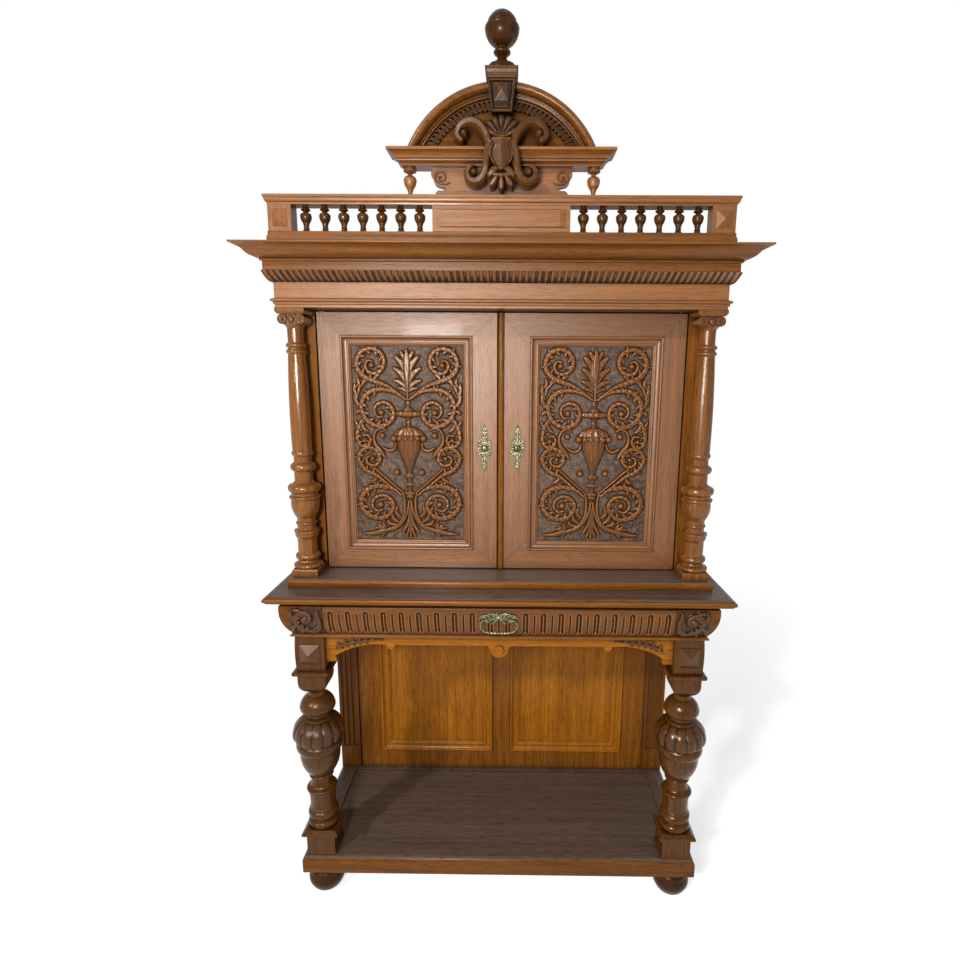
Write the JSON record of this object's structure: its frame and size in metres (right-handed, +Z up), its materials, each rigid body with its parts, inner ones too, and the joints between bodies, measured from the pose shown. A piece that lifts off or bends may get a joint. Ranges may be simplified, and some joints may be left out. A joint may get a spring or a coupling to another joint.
{
  "type": "buffet cabinet",
  "caption": "Two-stage carved oak buffet: panelled doors between turned columns above a serving top, a drawer, an open stage on turned legs, and a balustraded crest.",
  "frame": {"origin": "on the floor under the middle of the cabinet's bounding box", "axes": "+X to the viewer's right, +Y towards the back, +Z up; the doors and drawer face -Y"},
  "size_m": [1.371, 0.515, 2.492],
  "materials": {
    "oak": "glossy varnish, medium brown",
    "dark_oak": "glossy varnish, near-black brown",
    "brass": "aged, satin",
    "steel": "dull"
  },
  "bodies": {
    "case": {"bun_feet": "oak", "plinth_frame": "oak", "lower_shelf": "oak", "front_leg_left": "oak", "front_leg_right": "oak", "lower_back_frame": "oak", "lower_back_panels": "oak", "pilaster_left": "oak", "pilaster_right": "oak", "apron": "oak", "case_side_right": "oak", "case_side_left": "oak", "case_floor": "oak", "case_bead": "oak", "case_back": "oak", "table_top": "dark_oak", "step_board": "dark_oak", "cabinet_side_right": "oak", "face_stile_right": "oak", "cabinet_side_left": "oak", "face_stile_left": "oak", "cabinet_back": "oak", "cabinet_shelf": "oak", "cabinet_top": "oak", "column_left": "oak", "column_right": "oak", "door_pivots": "steel", "architrave": "oak", "frieze": "oak", "cornice": "oak", "gallery_base_rail": "oak", "gallery_posts": "oak", "gallery_balusters": "oak", "gallery_cap_rail": "oak", "crest_board": "oak", "crest_keystone": "oak", "crest_arch": "oak", "crest_tympanum": "oak", "crest_cartouche": "oak", "crest_cornice": "oak", "crest_finial": "oak"},
    "left_door": {"left_door_frame": "oak", "left_door_moulding": "oak", "left_door_panel": "oak", "left_escutcheon": "brass"},
    "right_door": {"right_door_frame": "oak", "right_door_moulding": "oak", "right_door_panel": "oak", "right_escutcheon": "brass", "astragal": "oak", "door_lock": "steel"},
    "drawer": {"drawer_front": "oak", "drawer_box": "oak", "drawer_bottom": "oak", "drawer_lock": "steel", "drawer_pull_plate": "brass"},
    "drawer_bail": {"drawer_pull_bail": "brass"},
    "drawer_bolt": {"drawer_lock_bolt": "steel"},
    "door_bolt": {"door_lock_bolt": "steel"},
    "top_bolt": {"left_door_bolt": "steel"}
  },
  "joints": [
    {"name": "left_door_hinge", "type": "hinge", "parent": "case", "child": "left_door", "pos_m": [-0.5065, -0.05, 1.39675], "axis": [0, 0, -1], "range_deg": [0, 90]},
    {"name": "right_door_hinge", "type": "hinge", "parent": "case", "child": "right_door", "pos_m": [0.5065, -0.05, 1.39675], "axis": [0, 0, 1], "range_deg": [0, 90]},
    {"name": "drawer_slide", "type": "slide", "parent": "case", "child": "drawer", "axis": [0, -1, 0], "range_m": [0, 0.3]},
    {"name": "drawer_bail_swing", "type": "hinge", "parent": "drawer", "child": "drawer_bail", "pos_m": [0, -0.23909, 0.928], "axis": [-1, 0, 0], "range_deg": [0, 100]},
    {"name": "drawer_bolt_slide", "type": "slide", "parent": "drawer", "child": "drawer_bolt", "axis": [0, 0, 1], "range_m": [0, 0.006]},
    {"name": "door_bolt_slide", "type": "slide", "parent": "right_door", "child": "door_bolt", "axis": [-1, 0, 0], "range_m": [0, 0.009]},
    {"name": "top_bolt_slide", "type": "slide", "parent": "left_door", "child": "top_bolt", "axis": [0, 0, 1], "range_m": [0, 0.009]}
  ]
}
